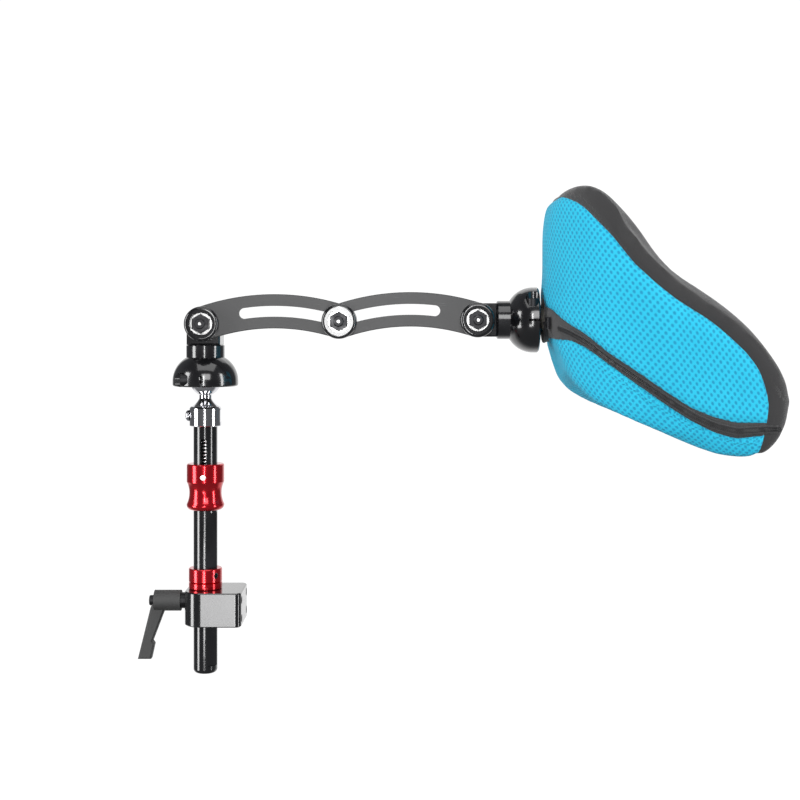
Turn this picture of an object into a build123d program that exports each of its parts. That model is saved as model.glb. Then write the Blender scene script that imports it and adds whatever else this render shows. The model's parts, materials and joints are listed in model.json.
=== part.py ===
from build123d import *
import math
import os

# Head support pad on a double-link swing bracket. Millimetres, +Z up.
# Origin: centre of the mounting block's bolt face. +X points at the head, +Y to the far side of the links.

# ---------- fits ----------
run = 0.05            # radial running clearance
ball_run = 0.08       # radial clearance of the ball seats
slot_run = 0.1        # side clearance of a bolt in a link slot

# ---------- mounting block ----------
post_back = 30.0      # post axis behind the bolt face
block_wall = 5.35     # block beyond the post
block_w = 46.0
block_h = 26.0
block_round = 14.0    # corners round the post
block_corner = 4.5
block_edge = 0.8
bolt_y = 32.0         # mounting bolt pattern
bolt_z = 14.0
bolt_r = 3.0
bolt_deep = 14.0

# ---------- clamp screw and lever ----------
lever_z = 3.5
stud_r = 4.0
pad_thick = 3.0       # thrust pad at its middle
neck_r = 6.15
neck_gap = 0.6
neck_len = 3.5
spline_r = 5.9
spline_depth = 0.7
spline_len = 4.7
spline_teeth = 16
spline_gap = 0.1
insert_len = 12.8     # neck face to the insert's end
hub_r = 8.0
hub_len = 20.6
hub_web = 2.0
cap_r = 4.0           # retaining screw head
cap_h = 3.5
cap_gap = 0.5
cap_side = 0.3
cap_shank_r = 2.0
lever_reach = 44.9
lever_thick = 9.0
lever_edge = 1.2
web_gap = 0.5         # insert's end to the hub's web
lever_wire = 0.7      # lever spring
lever_pitch = 1.9

# ---------- post ----------
post_r = 9.25
post_bottom = -52.2
foot_h = 6.0
foot_round = 3.0
post_wall = 3.2
flat_angle = 48.0     # flat's normal, from -Y towards +X
flat_depth = 1.4
post_split = 88.0     # lower post's top
spigot_len = 30.0
spigot_wall = 2.9
upper_wall = 3.75
ball_lock_r = 1.75
ball_lock_z = 66.0
slot_w = 4.8          # slot that shows the spring
slot_top = 129.2
spring_wire = 1.2
spring_pitch = 2.65
knob_travel = 7.0
lock_spare = 0.9      # lock groove's height over a ball
lock_deep = 1.05      # lock groove's depth
plunger_waist = 0.9   # plunger's relief for the balls
plunger_above = 6.0   # plunger's head over the knob screw
plunger_below = 4.2
bore_step = 6.0       # spigot's bore goes this far into the upper post
seat_h = 4.0
flat_end = 2.0        # flat's top under the knob

# ---------- stop collar and release knob ----------
collar_wall = 3.65
collar_h = 16.0
collar_groove_z = 4.8
collar_groove = 1.2
collar_screw_r = 2.3
collar_edge = 0.6
knob_z = 74.2
knob_h = 35.7
knob_wall = 5.25
knob_waist_wall = 3.25
knob_band = 14.0
knob_gap = 0.07
knob_screw_r = 2.1
knob_screw_z = 100.2
set_screw_in = 1.6     # knob screw's tip from the post axis
set_screw_under = 0.5  # knob screw below the knob's face
socket_deep = 2.0

# ---------- ball fitting ----------
fit_z = 139.0
fit_h = 15.5
fit_wall = 3.1
fit_roof = 2.5
fit_screw_z = 8.0
fit_screw_r = 2.45
fit_head_r = 4.5
fit_head_h = 2.8
ball_r = 12.0
ball_neck_r = 4.75
ball_rise = 19.6      # fitting collar's top to the ball's centre

# ---------- ball clamps ----------
reach = 44.3          # pivot to ball centre
block_side = 25.8     # knuckle
block_end = 16.2
knuckle_edge = 1.2
throat_wall = 1.65     # outside the ball seat
throat_end = 26.1
dome_wall = 12.2
dome_face = 4.1       # face beyond the ball's centre
dome_band = 4.0
dome_round = 1.5
liner = 1.04
liner_cut = 6.2       # liner's rim, back from the ball's centre
liner_hole = 4.0
spigot_end = 8.3      # knuckle spigot's rim, back from the ball's centre
slit_w = 1.5
slit_h = 9.0
pinch_r = 3.0
pinch_wall = 1.8       # ball seat to the pinch bolt
pinch_back = 1.3
pinch_seat = 10.5
pinch_head_r = 5.0
pinch_head_h = 6.0
pinch_hex = 5.0
pinch_tail = 13.0

# ---------- links and pivots ----------
link_w = 26.2
link_t = 5.0
link_chord = 105.0
link_arc_r = 164.0
slot_near = 33.0      # slot's near end from the pivot
link_edge = 0.5
link_a_tilt = 1.0
link_b_tilt = 0.6
pivot_r = 4.0
washer_t = 1.0
washer_r = 12.0
cap_wide = 13.25
cap_t = 7.0
cap_bore = 8.6
cap_floor = 2.5
cap_edge = 2.4
ring_r = 8.4
ring_t = 1.6
nut_af = 13.0
nut_h = 8.0
nut_collar = 2.2
bolt_show = 1.0
head_r = 6.5
head_h = 8.0
head_gap = 0.3
rear_t = 6.0
rear_head_h = 3.6

# ---------- pad ----------
pad_gap = 6.1         # ball centre to the pad's back
spine_r = 100.0
spine_arc = 72.0
wing_len = 56.3
half_mid = 21.0
half_tip = 17.0
pad_high = 186.0
cover_t = 2.0
fold = 8.0            # front cover's turn round the inner edge
pocket_r = 15.0
pocket_deep = 14.0
shell_t = 3.0
shell_in = 9.0        # shell inside the side outline
boss_t = 6.0
boss_w = 56.0
boss_h = 50.0
plate_t = 3.0
plate_w = 48.0
plate_h = 42.0
screw_x = 34.0
screw_z = 28.0
screw_r = 2.0
screw_head_r = 3.8
screw_head_h = 2.2
stud_thread_r = 5.0
stud_flange_r = 11.0
stud_flange_t = 3.0
pad_nut_af = 17.0
pad_nut_h = 8.0
nut_room = 12.0
chain_w = 3.4
chain_t = 1.2
chain_start = 30.0
slider_w = 7.0
slider_h = 9.0
slider_t = 2.4
pull_w = 3.0
pull_len = 10.0
pull_t = 1.0
pull_pin = 0.5
slider_gap = 0.35     # slider above the pad's back
ear_t = 1.0
ear_h = 2.4
ear_gap = 0.4
pin_high = 0.75       # pull's pin above the slider
pocket_out = 40.0     # cutter outside the pad's back

# ---------- places that follow ----------
post_x = -post_back
block_top = block_h / 2
ball_z = fit_z + fit_h + ball_rise
pivot_a = (post_x, ball_z + reach)
pivot_b = (pivot_a[0] + link_chord * math.cos(math.radians(link_a_tilt)),
           pivot_a[1] + link_chord * math.sin(math.radians(link_a_tilt)))
pivot_c = (pivot_b[0] + link_chord * math.cos(math.radians(link_b_tilt)),
           pivot_b[1] + link_chord * math.sin(math.radians(link_b_tilt)))
stud_x = pivot_c[0] + reach
stud_z = pivot_c[1]
seat_r = ball_r + ball_run + liner + ball_run
throat_r = seat_r + throat_wall
dome_r = seat_r + dome_wall
pinch_off = seat_r + pinch_r + pinch_wall
block_left = post_r + block_wall
collar_r = post_r + collar_wall
knob_r = post_r + knob_wall
knob_waist = post_r + knob_waist_wall
fit_r = post_r + fit_wall
knuckle_y = -block_side / 2
link_a_y = knuckle_y - washer_t
link_b_y = link_a_y - link_t - washer_t
slot_r = pivot_r + slot_run
pad_x = stud_x + pad_gap
pad_deep = half_mid + spine_r * (1 - math.cos(math.radians(spine_arc))) \
    + wing_len * math.cos(math.radians(90 - spine_arc)) + half_tip


def rod(radius, length, start, direction):
    """A round bar that starts at a point and runs along a direction."""
    bar = Cylinder(radius, length, align=(Align.CENTER, Align.CENTER, Align.MIN))
    return Plane(origin=start, z_dir=direction) * bar


def ring(outer, inner, length, start, direction):
    return rod(outer, length, start, direction) - rod(inner, length, start, direction)


def hexagon(across, length, start, direction):
    side = RegularPolygon(across / math.sqrt(3), 6)
    return Plane(origin=start, z_dir=direction) * extrude(side, amount=length)


def block(low, high):
    """A box given by two opposite corners."""
    size = [b - a for a, b in zip(low, high)]
    middle = [(a + b) / 2 for a, b in zip(low, high)]
    return Pos(*middle) * Box(*size)


def turned(points):
    """A turned part: a closed outline of radius and height, spun round Z."""
    return revolve(Plane.XZ * make_face(Polyline(*points, close=True)), Axis.Z)


def side_plane(y):
    """A sketch plane seen from -Y: its X and Y are the object's X and Z, and it extrudes towards -Y."""
    return Plane(origin=(0, y, 0), x_dir=(1, 0, 0), z_dir=(0, -1, 0))


def star(outer, depth, teeth):
    points = []
    for n in range(2 * teeth):
        radius = outer - depth * (n % 2)
        angle = math.pi * n / teeth
        points.append((radius * math.cos(angle), radius * math.sin(angle)))
    return make_face(Polyline(*points, close=True))


def one(shape):
    """The single solid of a shape."""
    return shape.solids()[0] if len(shape.solids()) == 1 else shape


# ---------- mounting block and clamp lever ----------
def bracket_block():
    body = block((post_x - block_left, -block_w / 2, -block_top), (0, block_w / 2, block_top))
    uprights = body.edges().filter_by(Axis.Z).sort_by(Axis.X)
    body = fillet(uprights[:2], block_round)
    uprights = body.edges().filter_by(Axis.Z).sort_by(Axis.X)
    body = fillet(uprights[-2:], block_corner)
    rims = body.faces().sort_by(Axis.Z)
    body = chamfer(rims[0].edges() + rims[-1].edges(), block_edge)
    body -= rod(post_r + run, block_h, (post_x, 0, -block_top), (0, 0, 1))
    body -= rod(stud_r + run, block_left, (post_x, 0, lever_z), (-1, 0, 0))
    for y in (-bolt_y / 2, bolt_y / 2):
        for z in (-bolt_z / 2, bolt_z / 2):
            body -= rod(bolt_r, bolt_deep, (0, y, z), (-1, 0, 0))
    return body


def thrust_pad():
    face = post_x - post_r
    body = rod(stud_r - run, pad_thick + stud_r, (face - pad_thick, 0, lever_z), (1, 0, 0))
    return one(body - rod(post_r + run / 2, block_h, (post_x, 0, -block_top), (0, 0, 1)))


neck_x = post_x - block_left - neck_gap
hub_x = neck_x - neck_len - spline_gap
hub_end = hub_x - hub_len
insert_end = neck_x - insert_len
web_x = insert_end - web_gap


def clamp_screw():
    start = post_x - post_r - pad_thick
    body = rod(stud_r, start - neck_x, (start, 0, lever_z), (-1, 0, 0))
    body += rod(neck_r, neck_len, (neck_x, 0, lever_z), (-1, 0, 0))
    teeth = extrude(star(spline_r, spline_depth, spline_teeth), amount=spline_len)
    body += Plane(origin=(neck_x - neck_len, 0, lever_z), z_dir=(-1, 0, 0)) * teeth
    body += rod(stud_r, insert_len - neck_len, (neck_x - neck_len, 0, lever_z), (-1, 0, 0))
    return body - rod(cap_shank_r, insert_len / 2, (insert_end, 0, lever_z), (1, 0, 0))


def lever_handle():
    hub = rod(hub_r, hub_len, (hub_x, 0, lever_z), (-1, 0, 0))
    # x from the hub's end, z as a share of the lever's reach
    outline = [(0.6, 0), (-2.6, -0.1), (-12.6, -1), (-2.3, -1), (0.2, -0.744), (-1.3, -0.697),
               (7.5, -0.183), (11.4, 0)]
    points = [(hub_end + x, lever_z + lever_reach * z) for x, z in outline]
    arm = extrude(side_plane(lever_thick / 2) * make_face(Polyline(*points, close=True)), amount=lever_thick)
    long_edges = [e for e in arm.edges() if abs(e.center().Y) > lever_thick / 2 - 0.01]
    arm = chamfer(long_edges, lever_edge)
    body = hub + arm
    teeth = extrude(star(spline_r + spline_gap, spline_depth, spline_teeth), amount=spline_len)
    body -= Plane(origin=(hub_x, 0, lever_z), z_dir=(-1, 0, 0)) * teeth
    deep = hub_x - spline_len
    body -= rod(spline_r + spline_gap, deep - web_x, (deep, 0, lever_z), (-1, 0, 0))
    body -= rod(cap_shank_r + spline_gap, hub_len, (hub_x, 0, lever_z), (-1, 0, 0))
    floor = web_x - hub_web
    return body - rod(cap_r + cap_side, floor - hub_end + 2 * cap_h, (floor, 0, lever_z), (-1, 0, 0))


def lever_cap_screw():
    under = hub_end - cap_gap
    head = rod(cap_r, cap_h, (under, 0, lever_z), (-1, 0, 0))
    head = fillet(head.faces().sort_by(Axis.X)[0].edges(), 0.8)
    head -= hexagon(3.0, 1.8, (under - cap_h, 0, lever_z), (1, 0, 0))
    tip = insert_end + insert_len / 2
    return head + rod(cap_shank_r, tip - under, (under, 0, lever_z), (1, 0, 0))


def coil(radius, wire, pitch, length):
    """A compression spring along +Z from the origin."""
    path = Helix(pitch, length - wire, radius)
    start = Plane(origin=path @ 0, z_dir=path % 0)
    return Pos(0, 0, wire / 2) * sweep(start * Circle(wire / 2), path, is_frenet=True)


def lever_spring():
    seat = web_x - hub_web
    length = seat - (hub_end - cap_gap)
    spring = coil(cap_shank_r + 1.0, lever_wire, lever_pitch, length - 0.1)
    return Plane(origin=(seat - 0.05, 0, lever_z), z_dir=(-1, 0, 0)) * spring


# ---------- post, collar and quick release ----------
flat_dir = (math.sin(math.radians(flat_angle)), -math.cos(math.radians(flat_angle)), 0)


def along_flat(distance, z):
    """A point on the flat's normal, out from the post axis."""
    return (post_x + flat_dir[0] * distance, flat_dir[1] * distance, z)


def stop_collar():
    low, high = block_top, block_top + collar_h
    groove = low + collar_groove_z
    inner = post_r + run
    edge = collar_edge
    body = turned([(inner, low), (collar_r - edge, low), (collar_r, low + edge), (collar_r, groove),
                   (collar_r - collar_groove, groove + collar_groove / 2), (collar_r, groove + collar_groove),
                   (collar_r, high - edge), (collar_r - edge, high), (inner, high)])
    body = Pos(post_x, 0, 0) * body
    return body - rod(collar_screw_r, collar_r, along_flat(0, collar_screw_z()), flat_dir)


def collar_screw_z():
    groove_top = block_top + collar_groove_z + collar_groove
    return (groove_top + block_top + collar_h) / 2


def collar_screw():
    start, end = post_r - flat_depth, collar_r - collar_edge
    body = rod(collar_screw_r, end - start, along_flat(start, collar_screw_z()), flat_dir)
    return body - hexagon(2.5, socket_deep, along_flat(end - socket_deep, collar_screw_z()), flat_dir)


def lower_post():
    low = post_bottom + foot_h
    body = rod(post_r, post_split - low, (post_x, 0, low), (0, 0, 1))
    body -= rod(post_r - post_wall, post_split - low, (post_x, 0, low), (0, 0, 1))
    groove = 2 * ball_lock_r + lock_spare
    body -= ring(post_r - post_wall + lock_deep, post_r - post_wall, groove,
                 (post_x, 0, ball_lock_z - groove / 2), (0, 0, 1))
    cutter = Box(flat_depth * 2, post_r * 2, knob_z - flat_end - low, align=(Align.CENTER, Align.CENTER, Align.MIN))
    flat = Plane(origin=along_flat(post_r, low), x_dir=flat_dir, z_dir=(0, 0, 1)) * cutter
    return one(body - flat)


def post_foot():
    cap = rod(post_r, foot_h, (post_x, 0, post_bottom), (0, 0, 1))
    cap = fillet(cap.faces().sort_by(Axis.Z)[0].edges(), foot_round)
    plug = rod(post_r - post_wall - run, foot_h, (post_x, 0, post_bottom + foot_h), (0, 0, 1))
    return cap + plug


post_top = fit_z + fit_h - fit_roof
spigot_r = post_r - post_wall - run
plunger_rod_r = spigot_r - spigot_wall - run
upper_bore = post_r - upper_wall
plunger_top = knob_screw_z + plunger_above


def upper_post():
    body = rod(post_r, post_top - post_split, (post_x, 0, post_split), (0, 0, 1))
    body += rod(spigot_r, spigot_len, (post_x, 0, post_split - spigot_len), (0, 0, 1))
    step = post_split + bore_step
    body -= rod(spigot_r - spigot_wall, spigot_len + bore_step, (post_x, 0, post_split - spigot_len), (0, 0, 1))
    body -= rod(upper_bore, post_top - step, (post_x, 0, step), (0, 0, 1))
    slot_low = knob_screw_z - slot_w / 2
    window = block((post_x - slot_w / 2, -post_r, slot_low), (post_x + slot_w / 2, 0, slot_top))
    body -= window
    for n in range(3):
        angle = math.radians(90 + 120 * n)
        body -= rod(ball_lock_r + 0.1, spigot_r, (post_x, 0, ball_lock_z), (math.cos(angle), math.sin(angle), 0))
    return one(body)


def lock_balls():
    out = plunger_rod_r + run + ball_lock_r
    balls = []
    for n in range(3):
        angle = math.radians(90 + 120 * n)
        place = (post_x + out * math.cos(angle), out * math.sin(angle), ball_lock_z)
        balls.append(Pos(*place) * Sphere(ball_lock_r))
    return Compound(children=balls)


def spring_seat():
    return rod(upper_bore - run, seat_h, (post_x, 0, post_top - seat_h), (0, 0, 1))


def release_spring():
    low, high = plunger_top, post_top - seat_h
    spring = coil(upper_bore - 0.5 - spring_wire / 2, spring_wire, spring_pitch, high - low - 0.1)
    return Pos(post_x, 0, low + 0.05) * spring


def release_plunger():
    foot = knob_screw_z - plunger_below
    body = rod(upper_bore - ball_run, plunger_top - foot, (post_x, 0, foot), (0, 0, 1))
    low = post_split - spigot_len
    body += rod(plunger_rod_r, foot - low, (post_x, 0, low), (0, 0, 1))
    neck = ball_lock_z - knob_travel
    waist = 2 * ball_lock_r + 0.6
    top = neck + waist / 2
    floor = max(low + 0.5, neck - waist / 2)
    body -= ring(plunger_rod_r + 1, plunger_rod_r - plunger_waist, top - floor, (post_x, 0, floor), (0, 0, 1))
    return body - rod(knob_screw_r, upper_bore, (post_x, 0.1 - set_screw_in, knob_screw_z), (0, -1, 0))


def release_knob():
    low, high = knob_z, knob_z + knob_h
    band = high - knob_band
    inner = post_r + knob_gap
    waist = band - 8.4
    flare = low + 4.4
    face = make_face(Polyline((inner, low), (knob_r - 3, low)) + ThreePointArc(
        (knob_r - 3, low), (knob_r - 0.85, low + 1.3), (knob_r, flare)) + ThreePointArc(
        (knob_r, flare), (knob_waist, waist), (knob_r, band)) + Polyline(
        (knob_r, band), (knob_r, high - 0.8), (knob_r - 0.8, high), (inner, high), (inner, low)))
    body = Pos(post_x, 0, 0) * revolve(Plane.XZ * face, Axis.Z)
    return body - rod(knob_screw_r, knob_r + 1, (post_x, 0, knob_screw_z), (0, -1, 0))


def knob_set_screw():
    end = knob_r - set_screw_under
    body = rod(knob_screw_r, end - set_screw_in, (post_x, -set_screw_in, knob_screw_z), (0, -1, 0))
    return body - hexagon(2.5, socket_deep, (post_x, -end, knob_screw_z), (0, 1, 0))


# ---------- ball fitting ----------
def ball_fitting():
    low, high = fit_z, fit_z + fit_h
    neck_top = ball_z - math.sqrt(ball_r ** 2 - ball_neck_r ** 2)
    flare = neck_top - 2.5
    flare_mid = (ball_neck_r + 2.6, (high + flare) / 2 - 0.6)
    face = make_face(Polyline((0, low), (fit_r - 0.5, low), (fit_r, low + 0.5), (fit_r, high - 1.6),
                              (fit_r - 0.9, high - 0.3)) + ThreePointArc(
        (fit_r - 0.9, high - 0.3), flare_mid, (ball_neck_r, flare)) + Polyline(
        (ball_neck_r, flare), (ball_neck_r, neck_top + 1), (0, neck_top + 1), (0, low)))
    body = Pos(post_x, 0, 0) * revolve(Plane.XZ * face, Axis.Z)
    body += Pos(post_x, 0, ball_z) * Sphere(ball_r)
    body -= rod(post_r + run, post_top - low, (post_x, 0, low), (0, 0, 1))
    flat = post_x + fit_r - 0.6
    body -= block((flat, -fit_r, low + 3), (flat + 5, fit_r, high - 3))
    return body - rod(fit_screw_r + run, fit_r + 1, (post_x, 0, low + fit_screw_z), (-1, 0, 0))


def fitting_screw():
    z = fit_z + fit_screw_z
    seat = post_x - fit_r
    cap = rod(fit_head_r, fit_head_h, (seat, 0, z), (-1, 0, 0))
    cap = fillet(cap.faces().sort_by(Axis.X)[0].edges(), fit_head_h * 0.75)
    cap -= hexagon(3.0, 1.6, (seat - fit_head_h, 0, z), (1, 0, 0))
    shank = rod(fit_screw_r, fit_r - post_r + 0.2, (seat, 0, z), (1, 0, 0))
    shank -= rod(post_r, fit_h, (post_x, 0, fit_z), (0, 0, 1))
    return one(cap + shank)


# ---------- ball clamps, in their own frame: pivot at the origin, +Z towards the face ----------
def clamp_frame(pivot, lower):
    """The lower clamp faces down with its pinch bolt to -X. The upper one faces +X with its bolt on top."""
    origin = (pivot[0], 0, pivot[1])
    if lower:
        return Plane(origin=origin, x_dir=(-1, 0, 0), z_dir=(0, 0, -1)), -1
    return Plane(origin=origin, x_dir=(0, 0, 1), z_dir=(1, 0, 0)), 1


def clamp_body(slit_side):
    face = reach + dome_face
    widest = face - dome_band
    a, h = dome_r - throat_r, widest - throat_end
    rho = (a * a + h * h) / (2 * a)
    turn = math.asin(h / rho) / 2
    arc_mid = (dome_r - rho + rho * math.cos(turn), widest - rho * math.sin(turn))
    outline = make_face(Polyline((0, throat_end), (throat_r, throat_end)) + ThreePointArc(
        (throat_r, throat_end), arc_mid, (dome_r, widest)) + Polyline(
        (dome_r, widest), (dome_r, face), (0, face), (0, throat_end)))
    body = revolve(Plane.XZ * outline, Axis.Z)
    body = fillet(body.faces().sort_by(Axis.Z)[-1].edges(), dome_round)
    body -= rod(seat_r, reach - throat_end, (0, 0, throat_end), (0, 0, 1))
    body -= Pos(0, 0, reach) * Sphere(ball_r + ball_run)
    near, far = sorted((slit_side * seat_r * 0.8, slit_side * (dome_r + 1)))
    body -= block((-slit_w / 2, near, face - slit_h), (slit_w / 2, far, face + 1))
    y, z = slit_side * pinch_off, reach - pinch_back
    body -= rod(pinch_head_r + 0.5, dome_r, (pinch_seat, y, z), (1, 0, 0))
    body -= rod(pinch_r + run, pinch_seat + pinch_tail + 1, (pinch_seat, y, z), (-1, 0, 0))
    return one(body)


def pinch_bolt(slit_side):
    y, z = slit_side * pinch_off, reach - pinch_back
    head = rod(pinch_head_r, pinch_head_h, (pinch_seat, y, z), (1, 0, 0))
    head = chamfer(head.faces().sort_by(Axis.X)[-1].edges(), 0.5)
    head -= hexagon(pinch_hex, pinch_head_h / 2, (pinch_seat + pinch_head_h, y, z), (-1, 0, 0))
    return head + rod(pinch_r, pinch_seat + pinch_tail, (pinch_seat, y, z), (-1, 0, 0))


def knuckle(slit_side):
    half = block_side / 2
    outline = Plane.XZ * (Pos(0, block_end / 2) * Rectangle(block_side, block_end) + Circle(half))
    body = Pos(0, half, 0) * extrude(outline, amount=block_side)
    faces = body.faces().sort_by(Axis.Y)
    body = chamfer(faces[0].edges() + faces[-1].edges(), knuckle_edge)
    throat = rod(throat_r, throat_end - block_end, (0, 0, block_end), (0, 0, 1))
    throat = chamfer(throat.faces().sort_by(Axis.Z)[0].edges(), 0.8)
    body += throat
    body += rod(seat_r - run, reach - spigot_end - throat_end, (0, 0, throat_end), (0, 0, 1))
    body -= Pos(0, 0, reach) * Sphere(seat_r)
    body -= rod(pivot_r + run, block_side + 2, (0, -half - 1, 0), (0, 1, 0))
    rear = -slit_side
    deep = head_h + head_gap
    return body - rod(head_r + 0.4, deep + 1, (0, rear * (half - deep), 0), (0, rear, 0))


def ball_liner():
    middle = Pos(0, 0, reach)
    shell = middle * Sphere(seat_r - ball_run) - middle * Sphere(ball_r + ball_run)
    rim = reach - liner_cut
    shell &= block((-seat_r, -seat_r, reach - seat_r), (seat_r, seat_r, rim))
    return one(shell - rod(liner_hole, seat_r, (0, 0, reach - seat_r), (0, 0, 1)))


# ---------- links ----------
def link_plane(pivot, tilt, y):
    """A link's sketch plane: pivot at the origin and the slot's far end along +X."""
    turn = math.radians(tilt)
    return Plane(origin=(pivot[0], y, pivot[1]), x_dir=(math.cos(turn), 0, math.sin(turn)), z_dir=(0, -1, 0))


def link_arc_angles():
    """Half of the pivot-to-far-end arc, and the pivot-to-near-end arc, in degrees."""
    half = math.degrees(math.asin(link_chord / 2 / link_arc_r))
    near = math.degrees(2 * math.asin(slot_near / 2 / link_arc_r))
    return half, near


def arc_centre():
    return (link_chord / 2, -math.sqrt(link_arc_r ** 2 - (link_chord / 2) ** 2))


def link(plane):
    half, near = link_arc_angles()
    whole = CenterArc(arc_centre(), link_arc_r, 90 - half, 2 * half)
    slot = CenterArc(arc_centre(), link_arc_r, 90 - half, 2 * half - near)
    outline = SlotArc(whole, link_w)
    body = chamfer(extrude(outline, amount=link_t).faces().filter_by(Axis.Z).edges(), link_edge)
    body -= extrude(SlotArc(slot, 2 * slot_r), amount=link_t)
    return plane * (body - Cylinder(pivot_r + run, 3 * link_t))


def flipped(pivot, tilt):
    """A link whose round end is on the far pivot: the same plate seen from its other end."""
    turn = math.radians(tilt)
    return Plane(origin=(pivot[0], link_b_y - link_t, pivot[1]), x_dir=(-math.cos(turn), 0, -math.sin(turn)),
                 z_dir=(0, 1, 0))


# ---------- pivot hardware, stacked towards -Y from a plane y at a pivot ----------
def at(pivot, y):
    return (pivot[0], y, pivot[1])


def disc(pivot, y, outer, thick, hole):
    return ring(outer, hole, thick, at(pivot, y), (0, -1, 0))


def dished_cap(pivot, y):
    body = rod(cap_wide, cap_t, at(pivot, y), (0, -1, 0))
    body = fillet(body.faces().sort_by(Axis.Y)[0].edges(), cap_edge)
    body -= rod(cap_bore, cap_t, at(pivot, y - cap_floor), (0, -1, 0))
    return body - rod(pivot_r + run, cap_t, at(pivot, y), (0, -1, 0))


def ring_washer(pivot, y):
    return disc(pivot, y - cap_floor, ring_r, ring_t, pivot_r + run)


def lock_nut(pivot, y):
    start = y - cap_floor - ring_t
    plain = nut_h - nut_collar
    body = hexagon(nut_af, plain, at(pivot, start), (0, -1, 0))
    body += rod(nut_af / 2 - 0.2, nut_collar, at(pivot, start - plain), (0, -1, 0))
    return body - rod(pivot_r + run, nut_h, at(pivot, start), (0, -1, 0))


def bolt_end(y):
    return y - cap_floor - ring_t - nut_h - bolt_show


def knuckle_bolt(pivot, y):
    """A socket screw from the knuckle's far side through link and cap. y is the cap's seat."""
    under = block_side / 2 - head_h - head_gap
    head = rod(head_r, head_h, at(pivot, under), (0, 1, 0))
    head -= hexagon(6.0, 4.0, at(pivot, under + head_h), (0, -1, 0))
    shank = rod(pivot_r, under - bolt_end(y), at(pivot, under), (0, -1, 0))
    return chamfer(shank.faces().sort_by(Axis.Y)[0].edges(), 0.7) + head


def middle_rear_cap():
    body = rod(cap_wide, rear_t, at(pivot_b, link_a_y), (0, 1, 0))
    body = fillet(body.faces().sort_by(Axis.Y)[-1].edges(), 1.5)
    body -= rod(head_r + 0.7, rear_t, at(pivot_b, link_a_y + rear_t - rear_head_h - 0.3), (0, 1, 0))
    return body - rod(pivot_r + run, rear_t, at(pivot_b, link_a_y), (0, 1, 0))


def middle_bolt(y):
    under = link_a_y + rear_t - rear_head_h - 0.3
    head = rod(head_r, rear_head_h, at(pivot_b, under), (0, 1, 0))
    head -= hexagon(5.0, 2.0, at(pivot_b, under + rear_head_h), (0, -1, 0))
    shank = rod(pivot_r, under - bolt_end(y), at(pivot_b, under), (0, -1, 0))
    return chamfer(shank.faces().sort_by(Axis.Y)[0].edges(), 0.7) + head


# ---------- pad ----------
# Its outline from the side: shares of the pad's depth and height, measured from the stud.
pad_outline = [(0.091, 0.522), (0.142, 0.534), (0.227, 0.506), (0.323, 0.394), (0.459, 0.231), (0.646, 0.099),
               (0.813, -0.019), (0.936, -0.154), (1.0, -0.296), (0.955, -0.420), (0.860, -0.498),
               (0.693, -0.502), (0.487, -0.430), (0.288, -0.360), (0.146, -0.276), (0.075, -0.149),
               (0.0, 0.060), (0.014, 0.165), (0.008, 0.356), (0.042, 0.479)]
# The seam between the front fabric and the outer mesh.
seam_line = [(0.023, 0.600), (0.060, 0.501), (0.132, 0.461), (0.194, 0.392), (0.265, 0.317), (0.346, 0.219),
             (0.438, 0.140), (0.530, 0.072), (0.641, 0.012), (0.723, -0.052), (0.796, -0.116),
             (0.851, -0.182), (0.879, -0.249), (0.895, -0.314), (0.886, -0.374), (0.868, -0.471), (0.832, -0.560)]
# The zip's tape: its middle line and half width.
zip_line = [(-0.071, -0.013, 0.069), (0.019, -0.013, 0.068), (0.058, -0.036, 0.043), (0.090, -0.047, 0.031),
            (0.158, -0.084, 0.025), (0.247, -0.150, 0.021), (0.355, -0.219, 0.024), (0.483, -0.299, 0.024),
            (0.576, -0.353, 0.024), (0.669, -0.391, 0.029), (0.759, -0.412, 0.030), (0.888, -0.403, 0.023),
            (1.031, -0.403, 0.023)]


def side_point(u, v):
    """From the side: x from the pad's back, z from the stud."""
    return (pad_x + u * pad_deep, stud_z + v * pad_high)


def inset_outline(amount):
    """The side outline, moved in by an amount along its own normals."""
    points = [side_point(u, v) for u, v in pad_outline]
    moved = []
    for n, (x, z) in enumerate(points):
        before, after = points[n - 1], points[(n + 1) % len(points)]
        dx, dz = after[0] - before[0], after[1] - before[1]
        size = math.hypot(dx, dz)
        moved.append((x + amount * dz / size, z - amount * dx / size))
    return moved


def across(face, wide=400):
    """A side outline pushed through the whole width of the pad."""
    return extrude(side_plane(wide / 2) * face, amount=wide)


def side_solid(amount):
    return across(make_face(Spline(*inset_outline(amount), periodic=True)))


def spine(s):
    """A point on the middle line of the pad seen from above, at share s from the centre to a tip, and its
    outward normal. s is negative on the -Y wing."""
    arc_len = spine_r * math.radians(spine_arc)
    along = abs(s) * (arc_len + wing_len)
    turn = min(along, arc_len) / spine_r
    x = half_mid + spine_r * (1 - math.cos(turn))
    y = spine_r * math.sin(turn)
    rest = max(along - arc_len, 0)
    x += rest * math.sin(turn)
    y += rest * math.cos(turn)
    side = math.copysign(1, s)
    return (pad_x + x, side * y), (-math.cos(turn), side * math.sin(turn))


def half_thick(s):
    return half_mid + (half_tip - half_mid) * abs(s)


def offset_line(out, steps=16):
    """A line beside the spine, from the -Y tip to the +Y tip. out(s) is its distance to the outside."""
    points = []
    for n in range(steps + 1):
        s = -1 + 2 * n / steps
        (x, y), (nx, ny) = spine(s if s else 1e-9)
        points.append((x + nx * out(s), y + ny * out(s)))
    return points


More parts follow.
